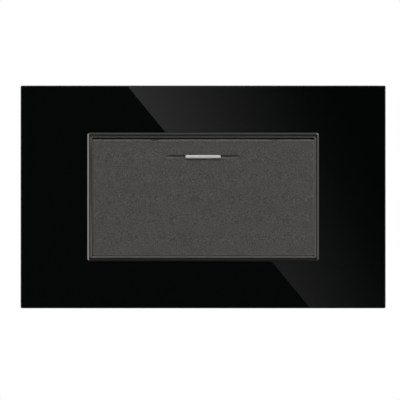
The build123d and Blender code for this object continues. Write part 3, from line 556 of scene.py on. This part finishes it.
silver, tree, shader = start_finish("silver_nickel", {"Metallic": 1.0, "Roughness": 0.25})
place = add(tree, "TexCoord").outputs["Object"]
burnish = add(tree, "TexNoise", {"Scale": 1 / burnish_speck, "Detail": 3.0}, {"Vector": place})
shade = tones(tree, burnish.outputs[0], (0.3, "cfccc4"), (0.7, "e4e2dc"))
tree.links.new(shade, shader.inputs["Base Color"])
dress(silver, "contact_upper", "contact_lower", "blade_buttons")


# Contact blade
# Half-hard copper alloy strip, stamped with a notch each side for the fulcrum. Handling has left
# it a little cloudy.
copper_cloud = 0.0017

copper, tree, shader = start_finish("half_hard_copper_alloy", {"Metallic": 1.0})
place = add(tree, "TexCoord").outputs["Object"]
cloud = add(tree, "TexNoise", {"Scale": 1 / copper_cloud, "Detail": 3.0}, {"Vector": place})
shade = tones(tree, cloud.outputs[0], (0.3, "a9744a"), (0.7, "c88f62"))
dull = add(tree, "MapRange", {1: 0.3, 2: 0.7, 3: 0.26, 4: 0.40}, {0: cloud.outputs[0]})
tree.links.new(shade, shader.inputs["Base Color"])
tree.links.new(dull.outputs[0], shader.inputs["Roughness"])
dress(copper, "contact_blade")


# Actuator and plunger
# Moulded in natural acetal, which runs dry on plastic and metal. It is milky and a little waxy.
acetal_cloud = 0.002

acetal, tree, shader = start_finish(
    "natural_acetal",
    {"IOR": 1.48, "Roughness": 0.35, "Subsurface Weight": 0.3, "Subsurface Scale": 0.001},
)
place = add(tree, "TexCoord").outputs["Object"]
cloud = add(tree, "TexNoise", {"Scale": 1 / acetal_cloud, "Detail": 3.0}, {"Vector": place})
shade = tones(tree, cloud.outputs[0], (0.3, "e2dfd5"), (0.7, "ebe8df"))
tree.links.new(shade, shader.inputs["Base Color"])
dress(acetal, "actuator", "plunger")


# Plunger spring
# Wound from hard-drawn spring wire, with its end turns closed, and held between the barrel's
# floor and the plunger's shoulder. The wire has fine die lines and a film of oil. In the switch the
# spring shortens as the plunger goes in; here it is wound at one length and rides with the rocker.
joints = {joint["name"]: joint for joint in frame["joints"]}
floor_above_axis = 0.0006  # the barrel's floor, from the rocking axis
floor_to_shoulder = 0.0066
coil_radius = 0.00125
wire_radius = 0.00016
wire_flats = 12
closed_turns = 0.75  # at each end
open_turns = 4.5
rings_in_turn = 32
end_clearance = 0.00001
die_line = 0.00033  # drawn as coarse as a close view can show

outward = Vector(joints["plunger_slide"]["axis"]).normalized()
sideways = Vector((1.0, 0.0, 0.0))
upward = outward.cross(sideways)
barrel_floor = Vector(joints["rocker_hinge"]["pos_m"]) + floor_above_axis * outward
closed_pitch = 2 * wire_radius + end_clearance
open_length = floor_to_shoulder - 2 * (wire_radius + end_clearance + closed_pitch * closed_turns)
open_pitch = open_length / open_turns
ring_count = int((2 * closed_turns + open_turns) * rings_in_turn) + 1

wire_points = []
for ring in range(ring_count):
    turn = ring / rings_in_turn
    opened = min(max(turn - closed_turns, 0.0), open_turns)
    down = wire_radius + end_clearance + closed_pitch * (turn - opened) + open_pitch * opened
    radial = cos(tau * turn) * sideways + sin(tau * turn) * upward
    centre = barrel_floor - down * outward + coil_radius * radial
    for flat in range(wire_flats):
        angle = tau * flat / wire_flats
        wire_points.append(centre + wire_radius * (cos(angle) * radial + sin(angle) * outward))
wire_faces = [tuple(range(wire_flats))]
for ring in range(ring_count - 1):
    for flat in range(wire_flats):
        near = ring * wire_flats + flat
        beside = ring * wire_flats + (flat + 1) % wire_flats
        wire_faces.append((near, near + wire_flats, beside + wire_flats, beside))
wire_faces.append(tuple(reversed(range(len(wire_points) - wire_flats, len(wire_points)))))

wound_spring = mesh_piece("wound_spring", wire_points, wire_faces)
for face in wound_spring.data.polygons:
    face.use_smooth = len(face.vertices) == 4
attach(wound_spring, "rocker")
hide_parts("plunger_spring")
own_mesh(wound_spring)

spring_wire, tree, shader = start_finish("drawn_spring_steel", {"Metallic": 1.0})
place = add(tree, "TexCoord").outputs["Object"]
lines = add(tree, "TexNoise", {"Scale": 1 / die_line, "Detail": 2.0}, {"Vector": place})
shade = tones(tree, lines.outputs[0], (0.3, "8f8e8b"), (0.7, "a9a8a4"))
dull = add(tree, "MapRange", {1: 0.3, 2: 0.7, 3: 0.25, 4: 0.38}, {0: lines.outputs[0]})
tree.links.new(shade, shader.inputs["Base Color"])
tree.links.new(dull.outputs[0], shader.inputs["Roughness"])
wound_spring.data.materials.append(spring_wire)


# Circuit board of the indicator light
# Glass-epoxy laminate with a green solder mask on both faces. The sawn edge shows the pale weave.
weave = 0.0005

laminate, tree, shader = start_finish("green_masked_laminate", {"IOR": 1.55, "Roughness": 0.3})
sides = add(tree, "TexCoord")
facing = add(tree, "SeparateXYZ", links={0: sides.outputs["Normal"]})
squareness = add(tree, "Math", links={0: facing.outputs["Y"]}, operation="ABSOLUTE")
cloth = add(tree, "TexChecker",
            {"Color1": linear("1f5234"), "Color2": linear("235a3a"), "Scale": 1 / weave},
            {"Vector": sides.outputs["Object"]})
edge = add(tree, "Mix", {6: linear("c3b888")},
           {0: squareness.outputs[0], 7: cloth.outputs[0]}, data_type="RGBA")
tree.links.new(edge.outputs[2], shader.inputs["Base Color"])
dress(laminate, "light_board")


# Chips and resistor on the board
# The chips are white cups filled with yellow resin. The resistor is a ceramic block, black on
# its face, with tinned ends.
phosphor_grain = 0.00033

resin, tree, shader = start_finish(
    "yellow_chip_resin", {"IOR": 1.53, "Roughness": 0.2, "Subsurface Weight": 0.4,
                          "Subsurface Scale": 0.0005}
)
place = add(tree, "TexCoord").outputs["Object"]
phosphor = add(tree, "TexNoise", {"Scale": 1 / phosphor_grain}, {"Vector": place})
shade = tones(tree, phosphor.outputs[0], (0.35, "e3d489"), (0.65, "efe6b0"))
tree.links.new(shade, shader.inputs["Base Color"])
dress(resin, "light_chips")

ceramic, tree, shader = start_finish("glazed_resistor_ceramic", {"Roughness": 0.35})
span = add(tree, "SeparateXYZ", links={0: add(tree, "TexCoord").outputs["Generated"]})
shade = tones(tree, span.outputs["X"], (0.0, "c9c9c6"), (0.2, "17171a"), (0.8, "c9c9c6"))
shade.node.color_ramp.interpolation = "CONSTANT"
tree.links.new(shade, shader.inputs["Base Color"])
dress(ceramic, "light_resistor")
